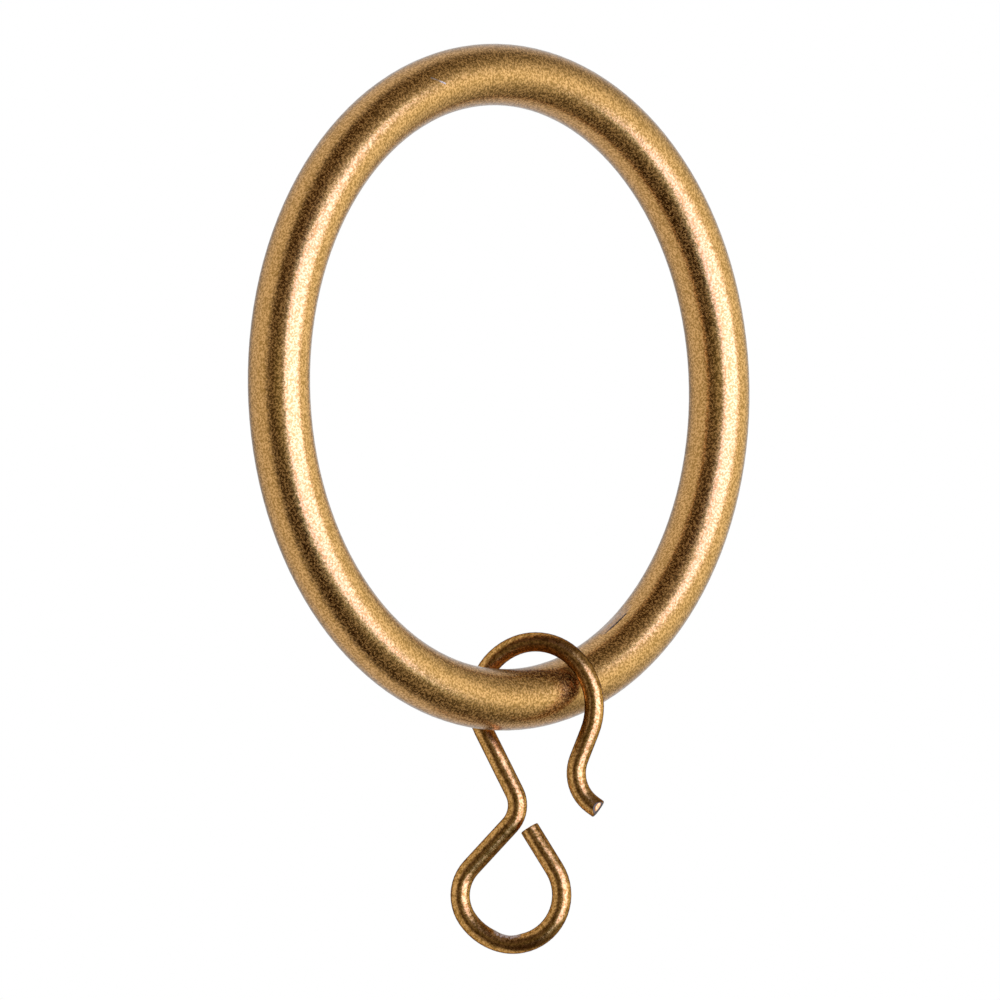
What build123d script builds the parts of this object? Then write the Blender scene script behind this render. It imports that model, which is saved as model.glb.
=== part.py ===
from build123d import *
from math import cos, radians, sin, sqrt
import os

os.makedirs("parts", exist_ok=True)

# Curtain ring with a wire hook, in millimetres.
# The ring stands upright in the XZ plane with its centre at the origin, and a pole runs through it along Y.
# The hook is one length of bent wire that goes over the ring's bar near its lowest point.

# Ring: round bar bent to a circle, its ends butt-welded and painted over
ring_inner_diameter = 38.0
bar_diameter = 4.15

# Ring: what is left of the weld, a low straight bead on the inside with a crevice along its foot
weld_place = 34.0     # degrees round the ring from its lowest point, towards +X
bead_height = 0.05
bead_radius = 0.90
crevice_side = 10.6   # degrees round the bar from its innermost line
crevice_radius = 0.05
crevice_arc = 7.0     # degrees round the ring

# Wire hook: where it hangs and how it stands to the ring
wire_diameter = 1.31
hook_place = 8.8      # degrees round the ring from its lowest point, towards +X
hook_turn = 54.0      # degrees between the hook's plane and the ring's plane

# Wire hook: the loop over the bar, as room beyond the bar's own slanting section
crown_gap = 0.97      # between the bar's top and the wire over it
crown_room = 0.34
back_room = 0.75
front_room = 1.22
crown_bend_back = 19.7
crown_bend_front = 41.5
back_bend = 97.0
front_bend = 70.1

# Wire hook: the leg behind the bar, the neck and the open eye
leg_length = 4.68
neck_radius = 1.99
neck_bend = 69.7
shoulder_length = 3.86
eye_entry_radius = 2.79
eye_entry_bend = 77.4
eye_side_radius = 4.00
eye_side_bend = 39.8
eye_radius = 3.33
eye_bend = 137.7
eye_end_length = 3.25

# Wire hook: the tail in front of the bar
tail_length = 1.97
tail_radius = 2.63
tail_bend = 76.0
tail_end_length = 0.52

# Cut ends: a fine broken edge round each, and the slanting face that the cutter left across the tail's end
end_break = 0.05
nip_depth = 0.22
nip_slope = 37.0      # degrees between that face and the wire
nip_turn = 17.0       # degrees that it looks up from the wire's line

# Chip in the thick paint inside the eye
chip_depth = 0.08
chip_radius = 1.80
chip_place = 8.0      # degrees round the eye from its lowest point, towards its closed side

# Worked out from the above
ring_radius = (ring_inner_diameter + bar_diameter) / 2
touch_distance = (bar_diameter + wire_diameter) / 2
loop_half_width = touch_distance / sin(radians(hook_turn))
crown_height = touch_distance + crown_gap
wire_radius = wire_diameter / 2
bar_centre = Vector(
    ring_radius * sin(radians(hook_place)), 0, -ring_radius * cos(radians(hook_place))
)
hook_plane = Plane(
    origin=bar_centre,
    x_dir=(cos(radians(hook_turn)), -sin(radians(hook_turn)), 0),
    z_dir=(-sin(radians(hook_turn)), -cos(radians(hook_turn)), 0),
)


def bend(before, radius, angle):
    """An arc that carries on from the end of another line; a positive angle turns to the left."""
    return JernArc(start=before @ 1, tangent=before % 1, radius=radius, arc_size=angle)


def straight(before, length):
    """A straight run that carries on from the end of another line."""
    return PolarLine(start=before @ 1, length=length, direction=before % 1)


def across_ring(place, distance):
    """The plane that cuts the bar square at a place round the ring, with its origin that far from the centre."""
    outward = Vector(sin(radians(place)), 0, -cos(radians(place)))
    return Plane(origin=outward * distance, x_dir=outward, z_dir=(cos(radians(place)), 0, sin(radians(place))))


# The ring is the bar's round section turned about the pole's axis, from the weld all the way round to it
with BuildPart() as ring:
    with BuildSketch(across_ring(weld_place, ring_radius)) as bar_section:
        Circle(bar_diameter / 2)
    revolve(axis=Axis.Y)

    # The bead is straight, so both its ends run out in the bar
    bead_reach = sqrt(2 * bead_height * ring_inner_diameter)
    with Locations(across_ring(weld_place, ring_inner_diameter / 2 - bead_height + bead_radius)):
        Cylinder(bead_radius, 2 * bead_reach)
    with BuildSketch(across_ring(weld_place + crevice_arc / 2, ring_radius)) as crevice_section:
        with PolarLocations(bar_diameter / 2, 1, start_angle=180 + crevice_side):
            Circle(crevice_radius)
    revolve(axis=Axis.Y, revolution_arc=crevice_arc, mode=Mode.SUBTRACT)

# The hook is bent from the crown of its loop both ways: back to the eye and forward to the tail
with BuildPart() as wire_hook:
    with BuildLine(hook_plane) as wire_line:
        crown = (0, crown_height)
        crown_radius = loop_half_width + crown_room

        crown_back = JernArc(crown, tangent=(-1, 0), radius=crown_radius, arc_size=crown_bend_back)
        back = bend(crown_back, loop_half_width + back_room, back_bend)
        leg = straight(back, leg_length)
        neck = bend(leg, neck_radius, -neck_bend)
        shoulder = straight(neck, shoulder_length)
        eye_entry = bend(shoulder, eye_entry_radius, eye_entry_bend)
        eye_side = bend(eye_entry, eye_side_radius, eye_side_bend)
        eye = bend(eye_side, eye_radius, eye_bend)
        eye_end = straight(eye, eye_end_length)

        crown_front = JernArc(crown, tangent=(1, 0), radius=crown_radius, arc_size=-crown_bend_front)
        front = bend(crown_front, loop_half_width + front_room, -front_bend)
        tail = straight(front, tail_length)
        tail_curl = bend(tail, tail_radius, tail_bend)
        tail_end = straight(tail_curl, tail_end_length)
    with BuildSketch(Plane(origin=eye_end @ 1, z_dir=eye_end % 1)) as wire_section:
        Circle(wire_radius)
    sweep(path=wire_line.wire())
    cut_ends = wire_hook.faces().filter_by(GeomType.PLANE)
    chamfer(cut_ends.edges(), end_break)

    # The cutter's slanting face takes a sliver off the front of the tail's end
    facing = hook_plane.z_dir
    along = (tail_end % 1).rotate(Axis((0, 0, 0), facing), nip_turn)
    nip_face = along * sin(radians(nip_slope)) + facing * cos(radians(nip_slope))
    with Locations(Plane(origin=tail_end @ 1 + facing * (wire_radius - nip_depth), z_dir=nip_face)):
        Box(
            2 * wire_diameter,
            2 * wire_diameter,
            wire_diameter,
            align=(Align.CENTER, Align.CENTER, Align.MIN),
            mode=Mode.SUBTRACT,
        )

    # The chip is a shallow hollow on the inside of the eye
    toward_chip = hook_plane.y_dir.rotate(Axis((0, 0, 0), facing), 180 - chip_place)
    chip_reach = eye_radius - wire_radius + chip_depth - chip_radius
    with Locations(Plane(origin=eye.arc_center + toward_chip * chip_reach, z_dir=facing)):
        Cylinder(chip_radius, wire_diameter, mode=Mode.SUBTRACT)

ring.part.label = "ring"
wire_hook.part.label = "wire_hook"
export_step(ring.part, "parts/ring.step")
export_step(wire_hook.part, "parts/wire_hook.step")
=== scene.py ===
from math import cos, pi, radians, sin, tan
from types import SimpleNamespace

import bpy
from mathutils import Matrix, Vector

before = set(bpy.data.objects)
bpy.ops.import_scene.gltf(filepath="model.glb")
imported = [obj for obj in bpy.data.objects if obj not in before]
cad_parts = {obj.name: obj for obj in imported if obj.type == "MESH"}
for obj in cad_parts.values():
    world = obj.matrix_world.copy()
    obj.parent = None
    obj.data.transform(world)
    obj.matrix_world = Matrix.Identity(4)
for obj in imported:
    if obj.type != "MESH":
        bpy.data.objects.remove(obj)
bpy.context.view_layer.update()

# Curtain ring with a wire hook, hanging in front of white. Everything is in metres.

# Camera: it looks from the ring's left and a touch from below, at a point a little below the ring's centre
CAMERA_AZIMUTH = radians(-45.25)
CAMERA_ELEVATION = radians(-1.5)
CAMERA_DISTANCE = 1.160
CAMERA_LENS = 619.7
CAMERA_SENSOR = 36.0
CAMERA_NEAR = 0.05
CAMERA_FAR = 50.0
AIM_RIGHT = -0.000128
AIM_UP = -0.007608

# Lamps in front of the ring: a wide one and its core are seen only in gloss, and a fill lights only dull surfaces.
# The core stands a little further off, because gloss would lose one of two lamps that lie in one place.
LAMP_ELEVATION = radians(-1.7)
# Azimuth, distance, half width and half height as angles, colour, whether it is for gloss
LAMPS = {
    "wide_lamp": (radians(2.5), 0.60, radians(31.3), radians(32.5), (0.72, 1.36, 1.95), True),
    "core_lamp": (radians(3.3), 0.62, radians(26.9), radians(27.5), (1.85, 1.08, 4.2), True),
    "soft_fill": (radians(0.0), 0.60, radians(33.0), radians(29.5), (1.8, 1.8, 1.8), False),
}

# Room: white behind the ring and dim in front of it, with a soft edge between, and darker low down in front.
# An edge or a fade is given by where it starts and where it is full.
WHITE = (1.0, 1.0, 1.0, 1.0)
BLACK = (0.0, 0.0, 0.0, 1.0)
ROOM_EDGE_AZIMUTH = radians(4.0)
ROOM_EDGE = (-0.338, 0.126)
FRONT_ROOM_COLOUR = (0.070, 0.030, 0.0, 1.0)
LOW_ROOM_FADE = (0.2, -0.9)
LOW_ROOM_SHADE = (0.65, 0.65, 0.65, 1.0)
# Soft glows in the dim part, round the lamps, on the right and on the left: azimuth, width, height, colour
GLOWS = (
    (radians(0.0), 0.52, 0.40, (0.65, 0.75, 1.0, 1.0)),
    (radians(63.0), 1.6, 0.54, (1.25, 1.33, 1.15, 1.0)),
    (radians(-40.0), 0.36, 0.28, (0.24, 0.26, 0.10, 1.0)),
)
GLOW_FADE = (0.0, 0.25)
# The part of the wall behind the ring that isn't lit is taken off the white, in the same terms
DIM_WALL = (radians(168.0), 0.42, 0.42, (0.42, 0.42, 0.42, 1.0))

# Floor
FLOOR_HEIGHT = -0.080
FLOOR_SIZE = 1.6
FLOOR_COLOUR = (0.86, 0.86, 0.85, 1.0)
FLOOR_ROUGHNESS = 0.8

# Bronze flake paint under a soft clear coat. Flakes run from dark to pale, and the pale ones are partly dull.
# Blotches are larger patches where it is darker or paler, and peel is the coat's slight unevenness.
COAT_ROUGHNESS = 0.26
COAT_IOR = 1.45
FLAKE_SHADE_SIZE = 1.4   # the noise that shades the flakes, against the flakes' own size
WORN_OR_SHADED_METAL_LOSS = 0.8    # how much of its metal the paint loses where it is worn, and where shade is painted
RING_PAINT = SimpleNamespace(
    dark=(0.325, 0.160, 0.022, 1.0),
    pale=(0.51, 0.278, 0.088, 1.0),
    edge_tint=(0.38, 0.38, 0.40, 1.0),
    roughness=0.235,
    worn_or_shaded_roughness=0.45,
    coat=0.7,
    flake_size=0.0001,
    flake_contrast=4.4,
    flake_tilt=0.07,
    dull_share=0.28,
    blotch=0.12,
    blotch_size=0.0007,
    peel_size=0.0007,
    peel_height=0.00001,
)
WIRE_PAINT = SimpleNamespace(
    dark=(0.25, 0.120, 0.018, 1.0),
    pale=(0.63, 0.340, 0.110, 1.0),
    edge_tint=(0.0, 0.0, 0.0, 1.0),
    roughness=0.27,
    worn_or_shaded_roughness=0.38,
    coat=0.2,
    flake_size=0.00009,
    flake_contrast=3.0,
    flake_tilt=0.06,
    dull_share=0.0,
    blotch=2.2,
    blotch_size=0.0003,
    peel_size=0.0009,
    peel_height=0.00003,
)

# A mark's edge is given by how ragged it is, where it starts and where it is full.
# Patches are given by the noise at which they start and are full, and how strong the mark is at either.

# Marks on the ring: the weld's ground foot, whose lilac-grey is partly its bare ground metal and partly a painted
# reflection of its flat face, and painted shade along a crevice on its inner side. Side is the angle round the
# bar from its innermost line, and an end is the angle round the ring from the weld.
RING_RADIUS = 0.021075
RING_RAGGED_SIZE = 0.00035
WELD_PLACE = radians(34.0)
GROUND_INNER_SIDE = (0.0, radians(11.6), radians(8.6))
GROUND_OUTER_SIDE = (radians(30.0), radians(-32.0), radians(-4.0))
GROUND_END = (radians(10.0), radians(7.0), radians(2.0))
GROUND_PATCHES = (-0.3, 0.3, 0.1, 0.8)
GROUND_DULLNESS = 0.5
# the ground foot's colour, partly a painted reflection of its flat face
GROUND_AND_REFLECTION_COLOUR = (0.40, 0.31, 0.28, 1.0)
CREVICE_SIDE = radians(10.6)
CREVICE_EDGE = (radians(2.0), radians(2.4), radians(0.9))
CREVICE_END = (radians(3.0), radians(4.4), radians(3.0))
# the crevice's near-black is painted shade
CREVICE_SHADE_COLOUR = (0.05, 0.035, 0.03, 1.0)
# A scratch and a pale patch low on the bar: start, end, half width
PALE_MARK_COLOUR = (0.62, 0.55, 0.56, 1.0)
SCRATCH = ((-0.00849, -0.00176, 0.02049), (-0.00743, -0.00204, 0.02014), 0.00007)
SCRATCH_PATCHES = (-0.3, 0.0, 0.0, 0.8)
PALE_PATCH = ((-0.00161, -0.00047, -0.02304), (-0.00060, -0.00043, -0.02310), 0.00012)
PALE_PATCH_PATCHES = (-0.3, 0.2, 0.0, 0.6)
LINE_CORE = 0.6   # the share of the half width within which such a mark is full

# Marks on the wire: the chip inside the eye is a hollow about an axis square to the hook's plane. It has bare metal
# in it and a brown rim, given by their distance from that axis, and it spreads by the cosine of the angle about it.
HOOK_TURN = radians(54.0)
WIRE_FACING = (-sin(HOOK_TURN), -cos(HOOK_TURN), 0.0)
WIRE_RAGGED_SIZE = 0.0002
EYE_CENTRE = (0.002318, 0.001248, -0.034200)
CHIP_PLACE = radians(8.0)
CHIP_WAY = (-sin(CHIP_PLACE) * cos(HOOK_TURN), sin(CHIP_PLACE) * sin(HOOK_TURN), -cos(CHIP_PLACE))
CHIP_REACH = 0.000955
CHIP_AXIS_PLACE = tuple(c + CHIP_REACH * w for c, w in zip(EYE_CENTRE, CHIP_WAY))
CHIP_SPREAD = (0.82, 0.92)
CHIP_RIM = (0.0006, 0.00222, 0.00210)
CHIP_RIM_STRENGTH = 0.75
CHIP_METAL = (0.0006, 0.00204, 0.00196)
CHIP_METAL_PATCH_SIZE = 0.00016
CHIP_METAL_PATCHES = (0.35, 0.5, 0.1, 1.0)
PRIMER_COLOUR = (0.13, 0.06, 0.03, 1.0)
CHIPPED_COLOUR = (0.50, 0.41, 0.40, 1.0)
# The cutter's slanting face at the tail's end: its normal, and the spot on it where its highlight shows, with the
# spot's two half lengths. Round that spot the face has painted shade and is duller, within a height above it and a
# distance along it.
NIP_NORMAL = (-0.311, -0.931, -0.192)
NIP_SPOT = (0.005380, -0.003782, -0.028292)
NIP_LONG = ((-0.342, 0.471, -0.813), 0.00031)
NIP_SHORT = ((0.872, -0.187, -0.451), 0.00016)
NIP_SPOT_EDGE = (0.6, 0.85, 1.15)
NIP_HEIGHT = (0.00006, 0.00003)
NIP_DISTANCE = (0.0009, 0.00081)
NIP_DULLNESS = 0.3
# painted shade for the cutter's face
NIP_SHADE_COLOUR = (0.07, 0.052, 0.025, 1.0)


def toward(azimuth, elevation):
    """The direction from the ring to a place in the room."""
    return Vector((sin(azimuth) * cos(elevation), -cos(azimuth) * cos(elevation), sin(elevation)))


def make_camera():
    back = toward(CAMERA_AZIMUTH, CAMERA_ELEVATION)
    right = Vector((cos(CAMERA_AZIMUTH), sin(CAMERA_AZIMUTH), 0.0))
    up = back.cross(right)
    aim = right * AIM_RIGHT + up * AIM_UP
    turn = Matrix((right, up, back)).transposed().to_4x4()
    camera = bpy.data.objects.new("camera", bpy.data.cameras.new("camera"))
    camera.matrix_world = Matrix.Translation(aim + back * CAMERA_DISTANCE) @ turn
    camera.data.lens = CAMERA_LENS
    camera.data.sensor_width = CAMERA_SENSOR
    camera.data.clip_start = CAMERA_NEAR
    camera.data.clip_end = CAMERA_FAR
    bpy.context.scene.collection.objects.link(camera)
    bpy.context.scene.camera = camera


def make_lamp(name, azimuth, distance, half_width, half_height, colour, for_gloss):
    lamp = bpy.data.lights.new(name, "AREA")
    lamp.shape = "RECTANGLE"
    lamp.size = 2 * distance * tan(half_width)
    lamp.size_y = 2 * distance * tan(half_height)
    # with this power, the lamp's face is as bright as its colour says
    lamp.energy = pi * lamp.size * lamp.size_y
    lamp.color = colour
    ob = bpy.data.objects.new(name, lamp)
    way = toward(azimuth, LAMP_ELEVATION)
    ob.matrix_world = Matrix.Translation(way * distance) @ way.to_track_quat("Z", "Y").to_matrix().to_4x4()
    ob.visible_camera = False
    ob.visible_glossy = for_gloss
    ob.visible_diffuse = not for_gloss
    bpy.context.scene.collection.objects.link(ob)


class Kit:
    """Short ways to add nodes to a tree. Values are numbers, colours or other nodes' outputs."""

    def __init__(self, tree, coordinates):
        self.nodes, self.links = tree.nodes, tree.links
        self.where = self.nodes.new("ShaderNodeTexCoord").outputs[coordinates]

    def put(self, node, inputs):
        for name, value in inputs.items():
            if isinstance(value, bpy.types.NodeSocket):
                self.links.new(value, node.inputs[name])
            else:
                node.inputs[name].default_value = value

    def add(self, kind, inputs, **settings):
        node = self.nodes.new(kind)
        for name, value in settings.items():
            setattr(node, name, value)
        self.put(node, inputs)
        return node

    def maths(self, operation, *values, clamp=False):
        node = self.add("ShaderNodeMath", dict(enumerate(values)), operation=operation, use_clamp=clamp)
        return node.outputs[0]

    def times(self, product, *values):
        for value in values:
            product = self.maths("MULTIPLY", product, value)
        return product

    def hypotenuse(self, *sides):
        squares = [self.times(side, side) for side in sides]
        return self.maths("SQRT", self.maths("ADD", *squares))

    def vector(self, operation, *values):
        node = self.add("ShaderNodeVectorMath", dict(enumerate(values)), operation=operation)
        return node.outputs["Value" if operation in ("DOT_PRODUCT", "LENGTH") else "Vector"]

    def scaled(self, vector, factor):
        node = self.add("ShaderNodeVectorMath", {0: vector, "Scale": factor}, operation="SCALE")
        return node.outputs["Vector"]

    def ramp(self, value, start, full, low=0.0, high=1.0):
        """A soft step from low where it starts to high where it is full."""
        inputs = dict(enumerate((value, start, full, low, high)))
        return self.add("ShaderNodeMapRange", inputs, interpolation_type="SMOOTHSTEP").outputs["Result"]

    def blend(self, factor, a, b, kind="MIX"):
        inputs = {"Factor": factor, "A": a, "B": b}
        return self.add("ShaderNodeMix", inputs, data_type="RGBA", blend_type=kind).outputs["Result"]

    def noise(self, size, detail):
        inputs = {"Vector": self.where, "Scale": 1.0 / size, "Detail": detail}
        return self.add("ShaderNodeTexNoise", inputs).outputs["Fac"]

    def ragged(self, size, detail=2.0):
        """Noise that lies about zero."""
        return self.maths("SUBTRACT", self.noise(size, detail), 0.5)

    def edge(self, value, ragged, raggedness, start, full):
        """A soft step whose place moves with the noise."""
        return self.ramp(self.maths("MULTIPLY_ADD", ragged, raggedness, value), start, full)


def along(kit, azimuth):
    """How far the direction seen points to an azimuth, from -1 to 1."""
    return kit.vector("DOT_PRODUCT", kit.where, (sin(azimuth), -cos(azimuth), 0.0))


def upright(kit):
    """How far the direction seen points up, from -1 to 1."""
    return kit.vector("DOT_PRODUCT", kit.where, (0.0, 0.0, 1.0))


def glow(kit, azimuth, width, height, colour):
    """A soft glow on the room's wall, level with the lamps."""

    def squared(value, size):
        return kit.maths("POWER", kit.maths("ABSOLUTE", kit.maths("DIVIDE", value, size)), 2.0)

    across = squared(along(kit, azimuth + pi / 2), width)
    upward = squared(kit.maths("SUBTRACT", upright(kit), sin(LAMP_ELEVATION)), height)
    bell = kit.maths("EXPONENT", kit.times(kit.maths("ADD", across, upward), -1.0))
    return kit.blend(kit.times(bell, kit.ramp(along(kit, azimuth), *GLOW_FADE)), BLACK, colour)


def make_world():
    world = bpy.data.worlds.new("room")
    bpy.context.scene.world = world
    world.use_nodes = True
    world.node_tree.nodes.clear()
    kit = Kit(world.node_tree, "Generated")

    dim = FRONT_ROOM_COLOUR
    for numbers in GLOWS:
        dim = kit.blend(1.0, dim, glow(kit, *numbers), "ADD")
    darker = kit.blend(1.0, dim, LOW_ROOM_SHADE, "MULTIPLY")
    dim = kit.blend(kit.ramp(upright(kit), *LOW_ROOM_FADE), dim, darker)
    back = kit.blend(1.0, WHITE, glow(kit, *DIM_WALL), "SUBTRACT")
    room = kit.blend(kit.ramp(along(kit, ROOM_EDGE_AZIMUTH), *ROOM_EDGE), back, dim)

    camera_ray = kit.add("ShaderNodeLightPath", {}).outputs["Is Camera Ray"]
    ground = kit.add("ShaderNodeBackground", {"Color": kit.blend(camera_ray, room, WHITE)})
    kit.add("ShaderNodeOutputWorld", {"Surface": ground.outputs["Background"]})


def make_floor():
    mat = bpy.data.materials.new("floor")
    mat.use_nodes = True
    shader = mat.node_tree.nodes["Principled BSDF"]
    shader.inputs["Base Color"].default_value = FLOOR_COLOUR
    shader.inputs["Roughness"].default_value = FLOOR_ROUGHNESS

    h = FLOOR_SIZE / 2
    mesh = bpy.data.meshes.new("floor")
    mesh.from_pydata([(-h, -h, 0), (h, -h, 0), (h, h, 0), (-h, h, 0)], [], [(0, 1, 2, 3)])
    mesh.materials.append(mat)
    floor = bpy.data.objects.new("floor", mesh)
    floor.location.z = FLOOR_HEIGHT
    floor.visible_glossy = False
    bpy.context.scene.collection.objects.link(floor)


def flake_colour(kit, paint):
    """The flakes' colour, and how metallic each of them is."""
    shade = kit.ragged(paint.flake_size * FLAKE_SHADE_SIZE, detail=1.0)
    shade = kit.maths("MULTIPLY_ADD", shade, paint.flake_contrast, 0.5)
    blotches = kit.times(kit.ragged(paint.blotch_size), paint.blotch)
    shade = kit.maths("ADD", shade, blotches, clamp=True)
    metal = kit.maths("MULTIPLY_ADD", shade, -paint.dull_share, 1.0)
    # a flake that is partly dull has a stronger colour, so its gloss is no weaker than that of one that isn't
    return kit.blend(1.0, kit.blend(shade, paint.dark, paint.pale), metal, "DIVIDE"), metal


def flake_normal(kit, paint):
    """Each flake lies at its own tilt, and the coat over them isn't quite even."""
    height = kit.noise(paint.peel_size, 1.0)
    peel = kit.add("ShaderNodeBump", {"Strength": 1.0, "Distance": paint.peel_height, "Height": height})
    flakes = kit.add("ShaderNodeTexVoronoi", {"Vector": kit.where, "Scale": 1.0 / paint.flake_size})
    tilt = kit.scaled(kit.vector("SUBTRACT", flakes.outputs["Color"], (0.5, 0.5, 0.5)), paint.flake_tilt)
    return kit.vector("NORMALIZE", kit.vector("ADD", peel.outputs["Normal"], tilt))


def make_paint(name, paint, marks):
    """Flake paint with a piece's marks, which change its colour and say where it is worn and where shade is
    painted.
    """
    mat = bpy.data.materials.new(name)
    mat.use_nodes = True
    kit = Kit(mat.node_tree, "Object")
    colour, metal = flake_colour(kit, paint)
    # the marks give wear and painted shade, and both take metal off and roughen
    colour, worn_or_shaded = marks(kit, colour)
    kept = kit.maths("SUBTRACT", 1.0, kit.times(worn_or_shaded, WORN_OR_SHADED_METAL_LOSS))
    inputs = {
        "Base Color": colour,
        "Metallic": kit.times(kept, metal),
        "Roughness": kit.ramp(worn_or_shaded, 0.0, 1.0, paint.roughness, paint.worn_or_shaded_roughness),
        "Normal": flake_normal(kit, paint),
        "Specular Tint": paint.edge_tint,
        "Coat Weight": paint.coat,
        "Coat Roughness": COAT_ROUGHNESS,
        "Coat IOR": COAT_IOR,
    }
    kit.put(mat.node_tree.nodes["Principled BSDF"], inputs)
    return mat


def ring_angles(kit):
    """The angles round the ring from its lowest point, and round the bar from its innermost line."""
    x, y, z = kit.add("ShaderNodeSeparateXYZ", {0: kit.where}).outputs
    place = kit.maths("ARCTAN2", x, kit.times(z, -1.0))
    inward = kit.maths("SUBTRACT", RING_RADIUS, kit.hypotenuse(x, z))
    return place, kit.maths("ARCTAN2", kit.times(y, -1.0), inward)


def near_line(kit, start, end, half_width):
    """1 along the line between two points, and 0 beyond its half width."""
    run = Vector(end) - Vector(start)
    offset = kit.vector("SUBTRACT", kit.where, start)
    share = kit.maths("MULTIPLY", kit.vector("DOT_PRODUCT", offset, run), 1.0 / run.length_squared, clamp=True)
    distance = kit.vector("LENGTH", kit.vector("SUBTRACT", offset, kit.scaled(run, share)))
    return kit.ramp(distance, half_width, LINE_CORE * half_width)


def ring_marks(kit, colour):
    """What the weld left, with a painted reflection on its ground foot and painted shade in its crevice, a scratch
    and a pale patch.
    """
    ragged = kit.ragged(RING_RAGGED_SIZE)
    place, side = ring_angles(kit)
    from_weld = kit.maths("ABSOLUTE", kit.maths("SUBTRACT", place, WELD_PLACE))
    from_crevice = kit.maths("ABSOLUTE", kit.maths("SUBTRACT", side, CREVICE_SIDE))
    ground = kit.times(
        kit.edge(side, ragged, *GROUND_INNER_SIDE),
        kit.edge(side, ragged, *GROUND_OUTER_SIDE),
        kit.edge(from_weld, ragged, *GROUND_END),
    )
    crevice_shade = kit.times(
        kit.edge(from_crevice, ragged, *CREVICE_EDGE),
        kit.edge(from_weld, ragged, *CREVICE_END),
    )
    scratch = kit.times(near_line(kit, *SCRATCH), kit.ramp(ragged, *SCRATCH_PATCHES))
    pale_patch = kit.times(near_line(kit, *PALE_PATCH), kit.ramp(ragged, *PALE_PATCH_PATCHES))

    # the weld's ground foot, its colour partly a painted reflection of its flat face
    colour = kit.blend(kit.times(ground, kit.ramp(ragged, *GROUND_PATCHES)), colour, GROUND_AND_REFLECTION_COLOUR)
    # painted shade along the weld's crevice
    colour = kit.blend(crevice_shade, colour, CREVICE_SHADE_COLOUR)
    colour = kit.blend(scratch, colour, PALE_MARK_COLOUR)
    # a pale patch low on the bar
    colour = kit.blend(pale_patch, colour, PALE_MARK_COLOUR)
    return colour, kit.maths("MAXIMUM", crevice_shade, kit.times(ground, GROUND_DULLNESS))


def chip_marks(kit, ragged):
    """The brown rim of the chip inside the eye, and the bare metal in it."""
    offset = kit.vector("SUBTRACT", kit.where, CHIP_AXIS_PLACE)
    beside = kit.scaled(WIRE_FACING, kit.vector("DOT_PRODUCT", offset, WIRE_FACING))
    reach = kit.vector("LENGTH", kit.vector("SUBTRACT", offset, beside))
    facing = kit.vector("DOT_PRODUCT", kit.vector("NORMALIZE", offset), CHIP_WAY)
    spread = kit.ramp(facing, *CHIP_SPREAD)
    return [kit.times(kit.edge(reach, ragged, *numbers), spread) for numbers in (CHIP_RIM, CHIP_METAL)]


def nip_shade_mark(kit, ragged):
    """Painted shade on the cutter's face, round the spot where its highlight shows."""
    offset = kit.vector("SUBTRACT", kit.where, NIP_SPOT)
    height = kit.maths("ABSOLUTE", kit.vector("DOT_PRODUCT", offset, NIP_NORMAL))
    sides = [
        kit.maths("DIVIDE", kit.vector("DOT_PRODUCT", offset, way), half_length)
        for way, half_length in (NIP_LONG, NIP_SHORT)
    ]
    return kit.times(
        kit.ramp(height, *NIP_HEIGHT),
        kit.ramp(kit.vector("LENGTH", offset), *NIP_DISTANCE),
        kit.edge(kit.hypotenuse(*sides), ragged, *NIP_SPOT_EDGE),
    )


def wire_marks(kit, colour):
    """The chip inside the eye, and painted shade on the cutter's face at the tail's end."""
    ragged = kit.ragged(WIRE_RAGGED_SIZE)
    rim, metal = chip_marks(kit, ragged)
    nip_shade = nip_shade_mark(kit, ragged)
    patches = kit.ramp(kit.noise(CHIP_METAL_PATCH_SIZE, 1.0), *CHIP_METAL_PATCHES)

    colour = kit.blend(kit.times(rim, CHIP_RIM_STRENGTH), colour, PRIMER_COLOUR)
    colour = kit.blend(kit.times(metal, patches), colour, CHIPPED_COLOUR)
    # painted shade on the cutter's face, which leaves its highlight as a spot
    colour = kit.blend(nip_shade, colour, NIP_SHADE_COLOUR)
    return colour, kit.maths("MAXIMUM", rim, kit.times(nip_shade, NIP_DULLNESS))


def put_on(node, mat):
    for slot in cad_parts[node].material_slots:
        slot.material = mat


make_camera()
for name, numbers in LAMPS.items():
    make_lamp(name, *numbers)
make_world()
make_floor()
put_on("ring", make_paint("ring_paint", RING_PAINT, ring_marks))
put_on("wire_hook", make_paint("wire_paint", WIRE_PAINT, wire_marks))
bpy.context.scene.view_settings.view_transform = "Standard"
